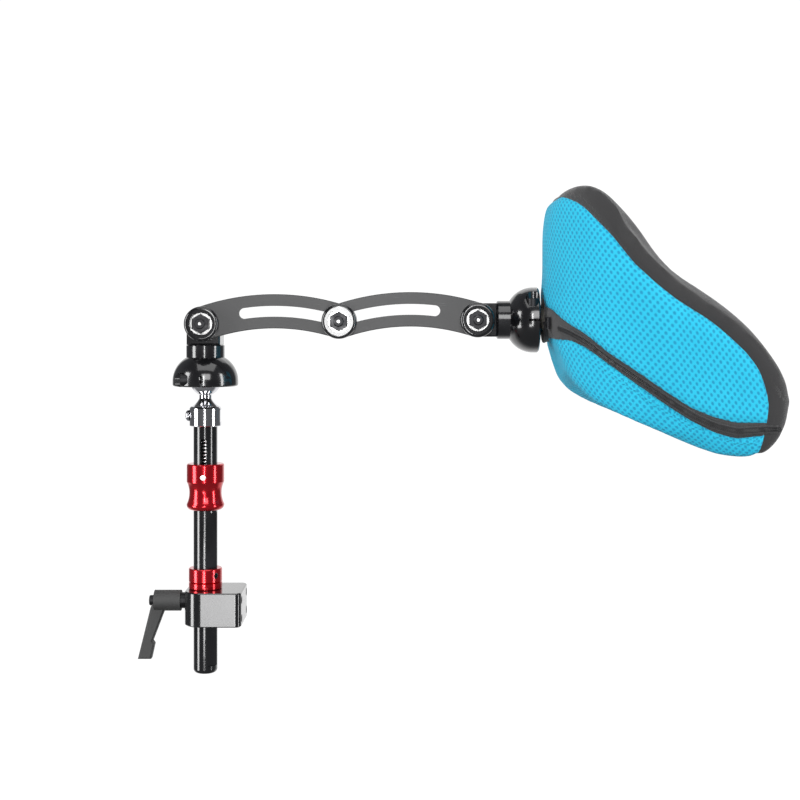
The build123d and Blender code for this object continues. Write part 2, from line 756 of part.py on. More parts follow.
def band(inner, outer, tip=0.0):
    """The plan region between two lines beside the spine, with round ends that reach tip beyond it."""
    low, high = offset_line(inner), offset_line(outer)
    if not tip:
        edges = Spline(*high) + Line(high[-1], low[-1]) + Spline(*low[::-1]) + Line(low[0], high[0])
        return make_face(edges)
    ends = []
    for side, a, b in ((1, high[-1], low[-1]), (-1, low[0], high[0])):
        (x, y), (nx, ny) = spine(side)
        ends.append(ThreePointArc(a, (x + side * ny * tip, y - side * nx * tip), b))
    return make_face(Spline(*high) + ends[0] + Spline(*low[::-1]) + ends[1])


def upright(face, low=-200, high=200):
    """A plan region pushed through the whole height of the pad."""
    return extrude(Plane(origin=(0, 0, stud_z + low)) * face, amount=high - low)


def pad_solid(amount):
    plan = band(lambda s: amount - half_thick(s), lambda s: half_thick(s) - amount, half_tip - amount)
    return upright(plan) & side_solid(amount)


def strip(above, below):
    """The region along the zip line between two offsets, as shares of its half width from the middle."""
    top = [side_point(u, v + above * w) for u, v, w in zip_line]
    bottom = [side_point(u, v - below * w) for u, v, w in zip_line]
    return across(make_face(Polyline(*top, *bottom[::-1], close=True)))


def front_region():
    inner = upright(band(lambda s: -half_thick(s) - 6, lambda s: fold - half_thick(s)))
    seam = [side_point(u, v) for u, v in seam_line]
    far = [side_point(1.3, -0.560), side_point(1.3, 0.600)]
    return inner, across(make_face(Polyline(*seam, *far, close=True)))


def pocket(radius, deep):
    return rod(radius, deep + pocket_out, (pad_x - pocket_out, 0, stud_z), (1, 0, 0))


def pad_pieces():
    """The pad's shell, foam, covers and zip tape, cut from one outer shape."""
    outer, inner = pad_solid(0), pad_solid(cover_t)
    cover = outer - inner - pocket(pocket_r, pocket_deep)
    inside, edge = front_region()
    front = cover & (inside + edge)
    rest = cover - inside - edge
    tape = rest & strip(1, 1)
    above = [side_point(u, v + w) for u, v, w in zip_line] + [side_point(1.031, 0.7), side_point(-0.071, 0.7)]
    below = [side_point(u, v - w) for u, v, w in zip_line] + [side_point(1.031, -0.7), side_point(-0.071, -0.7)]
    back = rest & across(make_face(Polyline(*above, close=True)))
    under = rest & across(make_face(Polyline(*below, close=True)))
    shell = pad_shell()
    foam = inner - shell - pocket(pocket_r, pocket_deep) - plate_room()
    return {"cover_front": front, "cover_back": back, "cover_under": under, "zip_tape": tape,
            "pad_shell": shell, "pad_foam": foam}


boss_x = pad_x + pocket_deep
plate_x = boss_x + boss_t
nut_x = plate_x + plate_t


def plate_room():
    """Space in the foam for the plate, its screws and the stud's nut."""
    room = block((boss_x, -plate_w / 2, stud_z - plate_h / 2), (nut_x, plate_w / 2, stud_z + plate_h / 2))
    room += rod(nut_room, pad_nut_h + 3, (nut_x, 0, stud_z), (1, 0, 0))
    for y, z in screw_places():
        room += rod(screw_head_r + 0.2, screw_head_h + 0.4, (nut_x, y, z), (1, 0, 0))
    return room


def screw_places():
    return [(y, stud_z + z) for y in (-screw_x / 2, screw_x / 2) for z in (-screw_z / 2, screw_z / 2)]


def pad_shell():
    """A curved plastic sheet that stays well inside the foam, with a flat boss for the plate."""
    back = pocket_deep - half_mid
    plan = band(lambda s: -back - shell_t, lambda s: -back)
    sheet = upright(plan) & side_solid(shell_in)
    boss = block((boss_x, -boss_w / 2, stud_z - boss_h / 2), (plate_x, boss_w / 2, stud_z + boss_h / 2))
    room = block((plate_x, -plate_w / 2, stud_z - plate_h / 2), (plate_x + 40, plate_w / 2, stud_z + plate_h / 2))
    body = sheet + boss - room - pocket(pocket_r, pocket_deep)
    body -= rod(stud_thread_r + slot_run, boss_t + 1, (boss_x - 0.5, 0, stud_z), (1, 0, 0))
    for y, z in screw_places():
        body -= rod(screw_r, boss_t - 1, (plate_x, y, z), (-1, 0, 0))
    return one(body)


def pad_mount_plate():
    body = block((plate_x, -plate_w / 2, stud_z - plate_h / 2), (nut_x, plate_w / 2, stud_z + plate_h / 2))
    body = fillet(body.edges().filter_by(Axis.X), 4)
    body -= rod(stud_thread_r + slot_run, plate_t, (plate_x, 0, stud_z), (1, 0, 0))
    for y, z in screw_places():
        body -= rod(screw_r, plate_t, (plate_x, y, z), (1, 0, 0))
    return body


def plate_screws():
    screws = []
    for y, z in screw_places():
        head = rod(screw_head_r, screw_head_h, (nut_x, y, z), (1, 0, 0))
        head = fillet(head.faces().sort_by(Axis.X)[-1].edges(), 1.2)
        screws.append(head + rod(screw_r, plate_t + boss_t - 1.5, (nut_x, y, z), (-1, 0, 0)))
    return Compound(children=screws)


def pad_stud():
    neck_start = stud_x + math.sqrt(ball_r ** 2 - ball_neck_r ** 2)
    flange = boss_x - stud_flange_t
    cone = flange - 3.5
    outline = [(0, stud_x), (ball_neck_r, stud_x), (ball_neck_r, max(neck_start, cone)), (stud_flange_r, flange),
               (stud_flange_r, boss_x), (stud_thread_r, boss_x), (stud_thread_r, nut_x + pad_nut_h + 1.5),
               (0, nut_x + pad_nut_h + 1.5)]
    local = [(r, x - stud_x) for r, x in outline]
    bar = Plane(origin=(stud_x, 0, stud_z), x_dir=(0, 1, 0), z_dir=(1, 0, 0)) * turned(local)
    return bar + Pos(stud_x, 0, stud_z) * Sphere(ball_r)


def pad_nut():
    body = hexagon(pad_nut_af, pad_nut_h, (nut_x, 0, stud_z), (1, 0, 0))
    return body - rod(stud_thread_r + run, pad_nut_h, (nut_x, 0, stud_z), (1, 0, 0))


def slider_place():
    """The slider's middle, on the outer side of the -Y wing where the zip starts."""
    turn = math.asin(chain_start / (spine_r + half_mid))
    x = half_mid + spine_r - (spine_r + half_mid) * math.cos(turn)
    return pad_x + x, -chain_start, turn


def slider_plane():
    """On the slider: +Z out of the pad's back, +Y up."""
    x, y, turn = slider_place()
    z = stud_z + zip_line[1][1] * pad_high
    return Plane(origin=(x, y, z), x_dir=(math.sin(turn), -math.cos(turn), 0),
                 z_dir=(-math.cos(turn), -math.sin(turn), 0))


def zip_chain():
    """Two raised rows of teeth as one bead along the tape's middle on each wing."""
    layer = upright(band(half_thick, lambda s: half_thick(s) + chain_t))
    half = chain_w / 2
    top = [side_point(u, v) for u, v, w in zip_line if -0.05 < u < 0.9]
    line = [(x, z + half) for x, z in top] + [(x, z - half) for x, z in top[::-1]]
    bead = layer & across(make_face(Polyline(*line, close=True)))
    bead -= pocket(chain_start + slider_w / 2 + 1, pocket_deep)
    return bead


def zip_slider():
    body = Box(slider_w, slider_h, slider_t, align=(Align.CENTER, Align.CENTER, Align.MIN))
    body = chamfer(body.faces().sort_by(Axis.Z)[-1].edges(), 0.6)
    for side in (-1, 1):
        body += Pos(side * (pull_w / 2 + ear_gap + ear_t / 2), 0, slider_t) * Box(ear_t, ear_h, ear_h)
    return slider_plane() * (Pos(0, 0, slider_gap) * body)


def pull_axis_offset():
    return slider_gap + slider_t + pin_high


def zip_pull():
    tab = Pos(0, (pull_t - pull_len) / 2, 0) * Box(pull_w, pull_len, pull_t)
    tab += Rot(0, 90, 0) * Cylinder(pull_pin, pull_w + 2 * (ear_gap - 0.1))
    return slider_plane() * (Pos(0, 0, pull_axis_offset()) * tab)


# ---------- write every piece ----------
def clamp_set(pivot, lower, seat, name):
    plane, slit_side = clamp_frame(pivot, lower)
    return {
        name + "_clamp_body": plane * clamp_body(slit_side),
        name + "_pinch_bolt": plane * pinch_bolt(slit_side),
        name + "_knuckle": plane * knuckle(slit_side),
        name + "_liner": plane * ball_liner(),
        name + "_pivot_bolt": knuckle_bolt(pivot, seat),
        name + "_cap": dished_cap(pivot, seat),
        name + "_nut_washer": ring_washer(pivot, seat),
        name + "_lock_nut": lock_nut(pivot, seat),
    }


def pieces():
    seat_a = link_a_y - link_t
    seat_b = link_b_y - link_t
    seat_mid = seat_b - washer_t
    made = {
        "bracket_block": bracket_block(),
        "thrust_pad": thrust_pad(),
        "clamp_screw": clamp_screw(),
        "lever_handle": lever_handle(),
        "lever_spring": lever_spring(),
        "lever_cap_screw": lever_cap_screw(),
        "stop_collar": stop_collar(),
        "collar_screw": collar_screw(),
        "lower_post": lower_post(),
        "post_foot": post_foot(),
        "upper_post": upper_post(),
        "lock_balls": lock_balls(),
        "spring_seat": spring_seat(),
        "release_spring": release_spring(),
        "release_plunger": release_plunger(),
        "release_knob": release_knob(),
        "knob_set_screw": knob_set_screw(),
        "ball_fitting": ball_fitting(),
        "fitting_screw": fitting_screw(),
    }
    made.update(clamp_set(pivot_a, True, seat_a, "lower"))
    made.update(clamp_set(pivot_c, False, seat_b, "upper"))
    made.update({
        "lower_friction_washer": disc(pivot_a, knuckle_y, washer_r, washer_t, pivot_r + run),
        "upper_spacer": disc(pivot_c, knuckle_y, washer_r, knuckle_y - link_b_y, pivot_r + run),
        "link_a": link(link_plane(pivot_a, link_a_tilt, link_a_y)),
        "link_b": link(flipped(pivot_c, link_b_tilt)),
        "middle_rear_cap": middle_rear_cap(),
        "middle_bolt": middle_bolt(seat_mid),
        "middle_washer": disc(pivot_b, link_a_y - link_t, washer_r, washer_t, pivot_r + run),
        "slot_washer": disc(pivot_b, seat_b, washer_r, washer_t, pivot_r + run),
        "middle_cap": dished_cap(pivot_b, seat_mid),
        "middle_nut_washer": ring_washer(pivot_b, seat_mid),
        "middle_lock_nut": lock_nut(pivot_b, seat_mid),
        "pad_stud": pad_stud(),
        "pad_nut": pad_nut(),
        "pad_mount_plate": pad_mount_plate(),
        "plate_screws": plate_screws(),
        "zip_chain": zip_chain(),
        "zip_slider": zip_slider(),
        "zip_pull": zip_pull(),
    })
    made.update(pad_pieces())
    return made


os.makedirs("parts", exist_ok=True)
for node, shape in pieces().items():
    export_step(shape, "parts/" + node + ".step")
    print(node)
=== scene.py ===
import bmesh
import bpy
import json
import math
import numpy as np
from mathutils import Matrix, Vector
from mathutils.bvhtree import BVHTree


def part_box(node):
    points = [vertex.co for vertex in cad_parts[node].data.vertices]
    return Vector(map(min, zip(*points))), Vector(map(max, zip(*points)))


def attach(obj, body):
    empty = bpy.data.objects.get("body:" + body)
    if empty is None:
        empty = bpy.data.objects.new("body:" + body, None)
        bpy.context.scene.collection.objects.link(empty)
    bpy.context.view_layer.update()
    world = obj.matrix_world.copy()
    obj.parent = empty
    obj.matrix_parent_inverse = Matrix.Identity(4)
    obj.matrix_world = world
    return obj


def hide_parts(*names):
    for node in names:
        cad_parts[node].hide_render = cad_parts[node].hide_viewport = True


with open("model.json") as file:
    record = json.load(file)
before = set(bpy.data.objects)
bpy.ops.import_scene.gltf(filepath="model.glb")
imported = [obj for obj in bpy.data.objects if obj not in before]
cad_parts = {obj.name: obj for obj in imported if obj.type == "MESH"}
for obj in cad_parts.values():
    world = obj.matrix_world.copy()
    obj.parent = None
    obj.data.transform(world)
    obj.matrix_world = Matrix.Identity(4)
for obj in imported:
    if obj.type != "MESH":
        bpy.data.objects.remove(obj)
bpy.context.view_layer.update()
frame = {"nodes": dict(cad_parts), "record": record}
scene = bpy.context.scene
nodes = frame["nodes"]
print("frame loaded:", len(nodes), "nodes")


# shader helpers
class Wire:  # one output of a node; arithmetic on it adds Math nodes
    def __init__(self, graph, socket):
        self.graph, self.socket = graph, socket

    def __add__(self, other): return self.graph.maths("ADD", self, other)
    def __radd__(self, other): return self.graph.maths("ADD", other, self)
    def __sub__(self, other): return self.graph.maths("SUBTRACT", self, other)
    def __rsub__(self, other): return self.graph.maths("SUBTRACT", other, self)
    def __mul__(self, other): return self.graph.maths("MULTIPLY", self, other)
    def __rmul__(self, other): return self.graph.maths("MULTIPLY", other, self)
    def __truediv__(self, other): return self.graph.maths("DIVIDE", self, other)
    def __pow__(self, other): return self.graph.maths("POWER", self, other)
    def __mod__(self, other): return self.graph.maths("FLOORED_MODULO", self, other)
    def __abs__(self): return self.graph.maths("ABSOLUTE", self)
    def floor(self): return self.graph.maths("FLOOR", self)
    def sine(self): return self.graph.maths("SINE", self)


class Graph:  # the nodes of one material
    def __init__(self, name):
        self.material = bpy.data.materials.new(name)
        self.material.use_nodes = True
        self.tree = self.material.node_tree
        self.tree.nodes.clear()

    def add(self, kind, settings=None, values=None, output=0):
        made = self.tree.nodes.new("ShaderNode" + kind)
        for name, value in (settings or {}).items():
            setattr(made, name, value)
        for key, value in (values or {}).items():
            if isinstance(value, Wire):
                self.tree.links.new(value.socket, made.inputs[key])
            else:
                made.inputs[key].default_value = value
        return Wire(self, made.outputs[output]) if made.outputs else None

    def maths(self, operation, *terms):
        return self.add("Math", {"operation": operation}, dict(enumerate(terms)))

    def mix(self, share, first, second):  # colours are triples
        ends = [c if isinstance(c, Wire) else (*c, 1) for c in (first, second)]
        return self.add("Mix", {"data_type": "RGBA"}, {0: share, 6: ends[0], 7: ends[1]}, 2)

    def place(self):
        return self.add("TexCoord", output=3)

    def parts(self, vector):
        split = self.add("SeparateXYZ", values={0: vector})
        return [Wire(self, s) for s in split.socket.node.outputs]

    def stretched(self, x, y, z):
        return self.add("VectorMath", {"operation": "MULTIPLY"}, {0: self.place(), 1: (x, y, z)})

    def noise(self, scale, detail=2.0, rough=0.5, vector=None):
        return self.add("TexNoise", values={"Vector": vector or self.place(), "Scale": scale, "Detail": detail,
                                            "Roughness": rough})

    def ramp(self, value, low, high):  # 0 below low, 1 above high, smooth between
        return self.add("MapRange", {"interpolation_type": "SMOOTHSTEP"}, {"Value": value, "From Min": low,
                                                                         "From Max": high})

    def bump(self, height, depth, under=None):  # depth in metres
        values = {"Height": height, "Distance": depth, "Strength": 1.0}
        if under:
            values["Normal"] = under
        return self.add("Bump", values=values)

    def done(self, **values):
        shader = self.add("BsdfPrincipled", values={k.replace("_", " "): v for k, v in values.items()})
        self.add("OutputMaterial", values={"Surface": shader})
        self.material.diffuse_color = (0.5, 0.5, 0.5, 1)
        return self.material


# metal and plastic finishes
anodised = {"black": (0.006, 0.006, 0.007), "blackWorn": (0.016, 0.016, 0.018), "red": (0.60, 0.005, 0.014),
            "redDeep": (0.42, 0.003, 0.009), "grain": 900, "grainDepth": 0.000012}


def blackAnodised():
    g = Graph("blackAnodised")
    cloudy = g.noise(38, 3)
    fine = g.noise(anodised["grain"], 2)
    colour = g.mix(g.ramp(cloudy, 0.45, 0.75), anodised["black"], anodised["blackWorn"])
    return g.done(Base_Color=colour, Metallic=0.1, Roughness=0.12 + 0.07 * cloudy + 0.03 * fine,
                  Coat_Weight=0.6, Coat_Roughness=0.03, Specular_IOR_Level=0.6,
                  Normal=g.bump(fine, anodised["grainDepth"]))


def redAnodised():
    g = Graph("redAnodised")
    cloudy = g.noise(60, 3)
    turned = g.noise(1, 3, vector=g.stretched(60, 60, 2600))  # lathe marks round the post
    colour = g.mix(cloudy, anodised["red"], anodised["redDeep"])
    return g.done(Base_Color=colour, Metallic=0.75, Roughness=0.16 + 0.06 * turned, Coat_Weight=0.5,
                  Coat_Roughness=0.05, Normal=g.bump(turned, 0.000003))


def polishedSteel():
    g = Graph("polishedSteel")
    turned = g.noise(1, 3, vector=g.stretched(40, 40, 2200))
    smudge = g.noise(70, 4)
    return g.done(Base_Color=g.mix(smudge, (0.80, 0.80, 0.82), (0.62, 0.62, 0.65)), Metallic=1.0,
                  Roughness=0.06 + 0.06 * turned + 0.05 * smudge, Normal=g.bump(turned, 0.000003))


def blackSteel():  # phosphated screws and nuts
    g = Graph("blackSteel")
    cloudy = g.noise(300, 3)
    rubbed = g.ramp(g.noise(90, 4), 0.55, 0.78)
    return g.done(Base_Color=g.mix(rubbed, (0.022, 0.022, 0.024), (0.16, 0.16, 0.165)), Metallic=0.7,
                  Roughness=0.30 + 0.2 * cloudy, Normal=g.bump(cloudy, 0.00003))


linkFinish = {"colour": (0.030, 0.030, 0.031), "light": (0.044, 0.044, 0.045), "orangePeel": 1500,
              "depth": 0.00005}


def linkSteel():  # satin powder coat on laser-cut plate
    g = Graph("linkSteel")
    peel = g.noise(linkFinish["orangePeel"], 2)
    cloudy = g.noise(25, 4)
    scuffs = g.ramp(g.noise(1, 4, vector=g.stretched(60, 60, 900)), 0.66, 0.74)
    colour = g.mix(cloudy, linkFinish["colour"], linkFinish["light"])
    return g.done(Base_Color=g.mix(0.35 * scuffs, colour, (0.14, 0.14, 0.14)), Metallic=0.15,
                  Roughness=0.36 + 0.14 * cloudy, Specular_IOR_Level=0.6,
                  Normal=g.bump(peel, linkFinish["depth"]))


def brightSteel():
    g = Graph("brightSteel")
    brushed = g.noise(1, 3, vector=g.stretched(300, 1800, 300))
    return g.done(Base_Color=g.mix(brushed, (0.74, 0.74, 0.73), (0.50, 0.50, 0.50)), Metallic=1.0,
                  Roughness=0.20 + 0.18 * brushed, Normal=g.bump(brushed, 0.00001))


def springSteel():
    g = Graph("springSteel")
    drawn = g.noise(1600, 2)
    return g.done(Base_Color=g.mix(drawn, (0.92, 0.92, 0.93), (0.74, 0.74, 0.76)), Metallic=1.0,
                  Roughness=0.16 + 0.16 * drawn, Normal=g.bump(drawn, 0.00001))


def turnedBrass():
    g = Graph("turnedBrass")
    turned = g.noise(1, 3, vector=g.stretched(2400, 200, 200))
    return g.done(Base_Color=g.mix(turned, (0.74, 0.52, 0.20), (0.55, 0.36, 0.12)), Metallic=1.0,
                  Roughness=0.22 + 0.2 * turned, Normal=g.bump(turned, 0.00001))


def leverPlastic():  # glass-filled nylon with a spark-eroded grain
    g = Graph("leverPlastic")
    grain = g.noise(2400, 3, 0.6)
    cloudy = g.noise(50, 3)
    return g.done(Base_Color=g.mix(cloudy, (0.030, 0.030, 0.030), (0.048, 0.048, 0.048)), Metallic=0.0,
                  Roughness=0.50 + 0.18 * grain, Normal=g.bump(grain, 0.00012))


def whiteNylon():
    g = Graph("whiteNylon")
    cloudy = g.noise(200, 3)
    return g.done(Base_Color=g.mix(cloudy, (0.62, 0.61, 0.57), (0.74, 0.73, 0.70)), Metallic=0.0,
                  Roughness=0.38 + 0.1 * cloudy, Normal=g.bump(cloudy, 0.00003))


def blackPlastic():
    g = Graph("blackPlastic")
    grain = g.noise(1200, 3)
    return g.done(Base_Color=g.mix(grain, (0.014, 0.014, 0.015), (0.028, 0.028, 0.029)), Metallic=0.0,
                  Roughness=0.40 + 0.15 * grain, Normal=g.bump(grain, 0.00006))


# fabrics
# the hole colour is painted shade: the yarn's blue darkened inside the recessed openings
meshFabric = {"yarn": (0.016, 0.455, 0.680), "yarnLight": (0.030, 0.540, 0.760), "hole": (0.014, 0.290, 0.500),
              "across": 0.0045, "rows": 0.00295, "holeWide": 0.00092, "holeHigh": 0.00125, "soft": 0.42}


def spacerMesh():  # warp-knitted mesh: staggered oval holes between slanting yarns
    g, m = Graph("spacerMesh"), meshFabric
    along, up, _ = g.parts(g.add("Attribute", {"attribute_name": "weaveMap"}, output=1))
    row = (up / m["rows"]).floor()
    inColumn = (along / m["across"] + 0.5 * (row % 2.0)) % 1.0 - 0.5
    inRow = (up / m["rows"]) % 1.0 - 0.5
    wide, high = inColumn * (m["across"] / m["holeWide"]), inRow * (m["rows"] / m["holeHigh"])
    far = (wide * wide + high * high) ** 0.5
    solid = g.ramp(far, 1 - m["soft"], 1 + m["soft"])
    slant = ((along * 5200.0 + up * 5200.0).sine() + (along * 5200.0 - up * 5200.0).sine()) * 0.25 + 0.5
    shade = g.noise(22, 2)
    fuzz = g.noise(5200, 2)
    yarn = g.mix(0.55 * slant + 0.45 * fuzz, m["yarn"], m["yarnLight"])
    yarn = g.mix(g.ramp(shade, 0.3, 0.8) * 0.30, yarn, (0.014, 0.40, 0.62))
    knit = g.bump(slant * 0.6 + fuzz * 0.4, 0.00018)
    # the openings take the darker hole colour, painted shade inside each hole
    return g.done(Base_Color=g.mix(solid, m["hole"], yarn), Metallic=0.0, Roughness=0.78 + 0.12 * fuzz,
                  Specular_IOR_Level=0.25, Sheen_Weight=0.06, Sheen_Roughness=0.5,
                  Normal=g.bump(solid, 0.00035, knit))


frontFabric = {"colour": (0.024, 0.024, 0.025), "light": (0.042, 0.041, 0.042)}


def stretchFabric():  # fine jersey face
    g = Graph("stretchFabric")
    along, up, _ = g.parts(g.add("Attribute", {"attribute_name": "weaveMap"}, output=1))
    ribs = ((along * 9000.0).sine() * (up * 9000.0).sine()) * 0.5 + 0.5
    fuzz = g.noise(3000, 3)
    cloudy = g.noise(18, 3)
    colour = g.mix(0.5 * cloudy + 0.5 * fuzz, frontFabric["colour"], frontFabric["light"])
    return g.done(Base_Color=colour, Metallic=0.0, Roughness=0.80 + 0.12 * fuzz, Specular_IOR_Level=0.3,
                  Sheen_Weight=0.35, Sheen_Roughness=0.45, Normal=g.bump(ribs * 0.5 + fuzz * 0.5, 0.00022))


def tapeFabric():  # ribbed woven tape
    g = Graph("tapeFabric")
    along, _, _ = g.parts(g.add("Attribute", {"attribute_name": "weaveMap"}, output=1))
    warp = (along * 5600.0).sine() * 0.5 + 0.5
    fuzz = g.noise(2600, 3)
    colour = g.mix(0.5 * warp + 0.5 * fuzz, (0.020, 0.020, 0.021), (0.050, 0.049, 0.050))
    return g.done(Base_Color=colour, Metallic=0.0, Roughness=0.72 + 0.14 * fuzz, Sheen_Weight=0.15,
                  Normal=g.bump(warp * 0.6 + fuzz * 0.4, 0.00022))


def threadFinish():
    g = Graph("blackThread")
    fuzz = g.noise(4000, 2)
    return g.done(Base_Color=g.mix(fuzz, (0.020, 0.020, 0.020), (0.06, 0.06, 0.06)), Metallic=0.0,
                  Roughness=0.55 + 0.2 * fuzz, Normal=g.bump(fuzz, 0.00005))


def openFoam():
    g = Graph("openFoam")
    cells = g.add("TexVoronoi", values={"Vector": g.place(), "Scale": 900.0})
    return g.done(Base_Color=g.mix(cells, (0.74, 0.71, 0.60), (0.50, 0.47, 0.38)), Metallic=0.0,
                  Roughness=0.85 + 0.1 * cells, Normal=g.bump(cells, 0.0003))


finishOf = {"black_anodised": blackAnodised(), "red_anodised": redAnodised(), "polished_steel": polishedSteel(),
            "black_steel": blackSteel(), "bright_steel": brightSteel(), "spring_steel": springSteel(),
            "brass": turnedBrass(), "lever_plastic": leverPlastic(), "nylon": whiteNylon(),
            "black_plastic": blackPlastic(), "foam": openFoam(), "grey_fabric": stretchFabric(),
            "turquoise_mesh": spacerMesh(), "black_tape": tapeFabric()}
linkPlate = linkSteel()
thread = threadFinish()
slotOf = {s["node"]: s["material_slot"] for s in frame["record"]["subparts"]}
for name, node in nodes.items():
    node.data.materials.clear()
    node.data.materials.append(linkPlate if name in ("link_a", "link_b") else finishOf[slotOf[name]])
print("finishes made:", len(bpy.data.materials))

# camera
view = {"place": (0.1212, -1.078, 0.2213), "lens": 62.4, "shiftDown": 0.1}


def makeCamera():
    data = bpy.data.cameras.new("camera")
    data.lens, data.sensor_width, data.shift_y = view["lens"], 36, -view["shiftDown"]
    data.clip_start, data.clip_end = 0.01, 50
    made = bpy.data.objects.new("camera", data)
    scene.collection.objects.link(made)
    made.location = view["place"]
    made.rotation_euler = (math.pi / 2, 0, 0)
    scene.camera = made


makeCamera()

# pad: a stuffed form inside a sewn cover
pad = {"spineRadius": 0.100, "spineArc": 72.0, "wingLength": 0.0563, "halfMid": 0.021, "halfTip": 0.017,
       "high": 0.186, "fold": 0.008, "voxel": 0.0042, "shrink": 0.0022, "smoothSteps": 9,
       "pressure": 4.0, "cap": 0.005, "clothFrames": 20, "tuck": 0.0013, "tuckWide": 0.0026,
       "clothThick": 0.0014, "mouth": 0.0168, "foamGap": 0.0035, "nearBack": 0.03, "clampReach": 0.045,
       "plugRadius": 0.017, "plugDeep": 0.018, "plugAt": 0.0098, "tapeCut": 0.001, "tapeTuck": 0.0015,
       "lean": 0.12, "rise": 0.14}
# The seam of the front fabric from the side: shares of the pad's depth and height, measured from the stud.
seamLine = [(0.023, 0.600), (0.060, 0.501), (0.132, 0.461), (0.194, 0.392), (0.265, 0.317), (0.346, 0.219),
            (0.438, 0.140), (0.530, 0.072), (0.641, 0.012), (0.723, -0.052), (0.796, -0.116), (0.851, -0.182),
            (0.879, -0.249), (0.895, -0.314), (0.886, -0.374), (0.868, -0.471), (0.832, -0.560)]
# The zip's tape: its middle and half width.
zipLine = [(-0.071, -0.013, 0.069), (0.019, -0.013, 0.068), (0.058, -0.036, 0.043), (0.090, -0.047, 0.031),
           (0.158, -0.084, 0.025), (0.247, -0.150, 0.021), (0.355, -0.219, 0.024), (0.483, -0.299, 0.024),
           (0.576, -0.353, 0.024), (0.669, -0.391, 0.029), (0.759, -0.412, 0.030), (0.888, -0.403, 0.023),
           (1.031, -0.403, 0.023)]
coverNodes = ["cover_front", "cover_back", "cover_under", "zip_tape"]
coverBoxes = [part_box(n) for n in coverNodes]
padLow = Vector(min(b[0][i] for b in coverBoxes) for i in range(3))
padHigh = Vector(max(b[1][i] for b in coverBoxes) for i in range(3))
padBack, padDeep = padLow.x, padHigh.x - padLow.x
studLow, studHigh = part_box("pad_stud")
studZ = (studLow.z + studHigh.z) / 2


def softLine(keys, values, rounds=60):  # a smooth curve through a broken line, as fine samples
    fine = np.linspace(keys[0], keys[-1], 400)
    line = np.interp(fine, keys, values)
    for _ in range(rounds):
        line[1:-1] = (line[:-2] + 2 * line[1:-1] + line[2:]) / 4
    return fine, line


seamUp, seamOut = softLine([v for u, v in seamLine[::-1]], [u for u, v in seamLine[::-1]])
zipOut, zipUp = softLine([u for u, v, w in zipLine], [v for u, v, w in zipLine])
_, zipHalf = softLine([u for u, v, w in zipLine], [w for u, v, w in zipLine])


def alongAndOut(points):  # arc length along the pad's middle line, and distance outside that line
    radius, arc = pad["spineRadius"], math.radians(pad["spineArc"])
    centre = pad["halfMid"] + radius
    x, y = points[:, 0] - padBack, np.abs(points[:, 1])
    angle = np.arctan2(y, centre - x)
    endX, endY = centre - radius * math.cos(arc), radius * math.sin(arc)
    wingAlong = arc * radius + (x - endX) * math.sin(arc) + (y - endY) * math.cos(arc)
    wingOut = (y - endY) * math.sin(arc) - (x - endX) * math.cos(arc)
    onArc = angle < arc
    return (np.where(onArc, angle * radius, wingAlong),
            np.where(onArc, np.hypot(centre - x, y) - radius, wingOut))


def halfThick(along):
    share = along / (math.radians(pad["spineArc"]) * pad["spineRadius"] + pad["wingLength"])
    return pad["halfMid"] + (pad["halfTip"] - pad["halfMid"]) * np.clip(share, 0, 1)


def shares(points):  # depth and height as shares of the pad's own
    return (points[:, 0] - padBack) / padDeep, (points[:, 2] - studZ) / pad["high"]


def frontSide(points):  # positive on the front fabric, in metres from its seam
    along, out = alongAndOut(points)
    folded = pad["fold"] - halfThick(along) - out
    u, v = shares(points)
    slope = np.interp(v, seamUp, np.gradient(seamOut, seamUp)) * padDeep / pad["high"]
    beyond = (u - np.interp(v, seamUp, seamOut)) * padDeep / np.sqrt(1 + slope ** 2)
    return np.maximum(folded, beyond)


def tapeSide(points):  # positive on the zip's tape, in metres from its edge
    u, v = shares(points)
    return (np.interp(u, zipOut, zipHalf) - np.abs(v - np.interp(u, zipOut, zipUp))) * pad["high"]


def tapeEdge(points):  # the same, but negative on the front fabric
    return np.minimum(tapeSide(points), pad["tapeCut"] - frontSide(points))


def zipHeight(x, share=0.0):  # the tape's height at a depth; share is -1 to 1 across it
    u = (x - padBack) / padDeep
    return studZ + pad["high"] * (np.interp(u, zipOut, zipUp) + share * np.interp(u, zipOut, zipHalf))


def mouthSide(points):  # positive inside the stud's opening
    near = points[:, 0] < padBack + pad["nearBack"]
    return np.where(near, pad["mouth"] - np.hypot(points[:, 1], points[:, 2] - studZ), -0.05)


def coordinates(mesh):
    co = np.zeros(len(mesh.vertices) * 3)
    mesh.vertices.foreach_get("co", co)
    return co.reshape(-1, 3)


def normals(mesh):
    no = np.zeros(len(mesh.vertices) * 3)
    mesh.vertices.foreach_get("normal", no)
    return no.reshape(-1, 3)


def setCoordinates(mesh, points):
    mesh.vertices.foreach_set("co", points.ravel())
    mesh.update()


def meshFrom(work, name, smooth=True):
    mesh = bpy.data.meshes.new(name)
    work.to_mesh(mesh)
    work.free()
    mesh.polygons.foreach_set("use_smooth", [smooth] * len(mesh.polygons))
    return mesh


def newObject(name, mesh):
    made = bpy.data.objects.new(name, mesh)
    scene.collection.objects.link(made)
    return made


def applied(thing, name):  # the object's mesh with its modifiers, as a new object
    mesh = bpy.data.meshes.new_from_object(thing.evaluated_get(bpy.context.evaluated_depsgraph_get()))
    before = thing.data
    bpy.data.objects.remove(thing)
    bpy.data.meshes.remove(before)
    mesh.name = name
    return newObject(name, mesh)


def edgePairs(mesh):
    pairs = np.zeros(len(mesh.edges) * 2, int)
    mesh.edges.foreach_get("vertices", pairs)
    return pairs.reshape(-1, 2)


